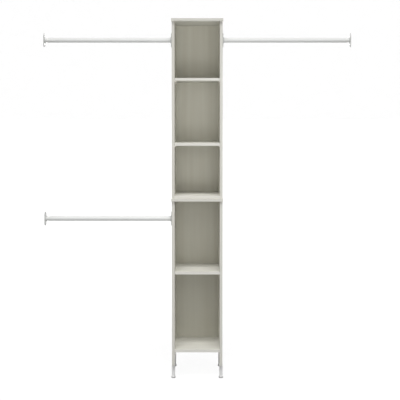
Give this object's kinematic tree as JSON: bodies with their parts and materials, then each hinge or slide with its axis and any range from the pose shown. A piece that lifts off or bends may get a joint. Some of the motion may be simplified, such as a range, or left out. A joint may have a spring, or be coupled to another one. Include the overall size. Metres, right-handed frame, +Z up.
{
  "type": "closet organizer tower",
  "caption": "Tall narrow open closet tower of two stacked shelf units on levelling feet, with telescopic hanging rods reaching from its sides to the closet walls",
  "frame": {"origin": "on the floor, at the middle of the overall width and depth, feet screwed in", "axes": "+Z up, the open front faces -Y, +X to the right as seen from the front"},
  "size_m": [1.796, 0.3058, 2.134],
  "materials": {
    "laminate": "pale melamine laminate on particle board, satin",
    "hardboard": "thin hardboard, laminated inside, raw brown outside",
    "white_enamel": "white baked enamel on thin steel tube",
    "flange_plastic": "light grey moulded, satin",
    "collar_plastic": "white moulded nylon",
    "foot_plastic": "light grey moulded, satin",
    "zinc_steel": "zinc plated",
    "nickel_steel": "nickel plated",
    "zinc_alloy": "die-cast zinc, dull",
    "beech": "fluted beech dowel"
  },
  "bodies": {
    "tower": {"lower_left_side": "laminate", "lower_right_side": "laminate", "lower_bottom_board": "laminate", "middle_board": "laminate", "upper_left_side": "laminate", "upper_right_side": "laminate", "upper_bottom_board": "laminate", "top_board": "laminate", "lower_back_panel": "hardboard", "upper_back_panel": "hardboard", "cam_bolts": "zinc_steel", "flange_screws": "zinc_steel", "wall_bracket_screws": "zinc_steel", "wall_brackets": "zinc_steel", "leveller_inserts": "zinc_steel", "back_panel_nails": "zinc_steel", "cam_locks": "zinc_alloy", "board_dowels": "beech", "stacking_dowels": "beech", "lower_shelf_supports": "nickel_steel", "upper_shelf_low_supports": "nickel_steel", "upper_shelf_high_supports": "nickel_steel", "tower_flange_upper_left": "flange_plastic", "rod_collar_upper_left": "collar_plastic", "outer_tube_upper_left": "white_enamel", "tower_flange_lower_left": "flange_plastic", "rod_collar_lower_left": "collar_plastic", "outer_tube_lower_left": "white_enamel", "tower_flange_right": "flange_plastic", "rod_collar_right": "collar_plastic", "outer_tube_right": "white_enamel"},
    "lower_shelf": {"lower_shelf": "laminate"},
    "upper_shelf_low": {"upper_shelf_low": "laminate"},
    "upper_shelf_high": {"upper_shelf_high": "laminate"},
    "foot_front_left": {"foot_body_front_left": "foot_plastic", "foot_stem_front_left": "zinc_steel"},
    "foot_rear_left": {"foot_body_rear_left": "foot_plastic", "foot_stem_rear_left": "zinc_steel"},
    "foot_front_right": {"foot_body_front_right": "foot_plastic", "foot_stem_front_right": "zinc_steel"},
    "foot_rear_right": {"foot_body_rear_right": "foot_plastic", "foot_stem_rear_right": "zinc_steel"},
    "rod_upper_left": {"inner_tube_upper_left": "white_enamel", "rod_guide_upper_left": "collar_plastic", "wall_flange_upper_left": "flange_plastic"},
    "rod_lower_left": {"inner_tube_lower_left": "white_enamel", "rod_guide_lower_left": "collar_plastic", "wall_flange_lower_left": "flange_plastic"},
    "rod_right": {"inner_tube_right": "white_enamel", "rod_guide_right": "collar_plastic", "wall_flange_right": "flange_plastic"}
  },
  "joints": [
    {"name": "lower_shelf_pull", "type": "slide", "parent": "tower", "child": "lower_shelf", "axis": [0, -1, 0], "range_m": [0, 0.3]},
    {"name": "upper_shelf_low_pull", "type": "slide", "parent": "tower", "child": "upper_shelf_low", "axis": [0, -1, 0], "range_m": [0, 0.3]},
    {"name": "upper_shelf_high_pull", "type": "slide", "parent": "tower", "child": "upper_shelf_high", "axis": [0, -1, 0], "range_m": [0, 0.3]},
    {"name": "foot_front_left_screw", "type": "slide", "parent": "tower", "child": "foot_front_left", "axis": [0, 0, -1], "range_m": [0, 0.02]},
    {"name": "foot_rear_left_screw", "type": "slide", "parent": "tower", "child": "foot_rear_left", "axis": [0, 0, -1], "range_m": [0, 0.02]},
    {"name": "foot_front_right_screw", "type": "slide", "parent": "tower", "child": "foot_front_right", "axis": [0, 0, -1], "range_m": [0, 0.02]},
    {"name": "foot_rear_right_screw", "type": "slide", "parent": "tower", "child": "foot_rear_right", "axis": [0, 0, -1], "range_m": [0, 0.02]},
    {"name": "rod_upper_left_extend", "type": "slide", "parent": "tower", "child": "rod_upper_left", "axis": [-1, 0, 0], "range_m": [0, 0.457]},
    {"name": "rod_lower_left_extend", "type": "slide", "parent": "tower", "child": "rod_lower_left", "axis": [-1, 0, 0], "range_m": [0, 0.457]},
    {"name": "rod_right_extend", "type": "slide", "parent": "tower", "child": "rod_right", "axis": [1, 0, 0], "range_m": [0, 0.457]}
  ]
}
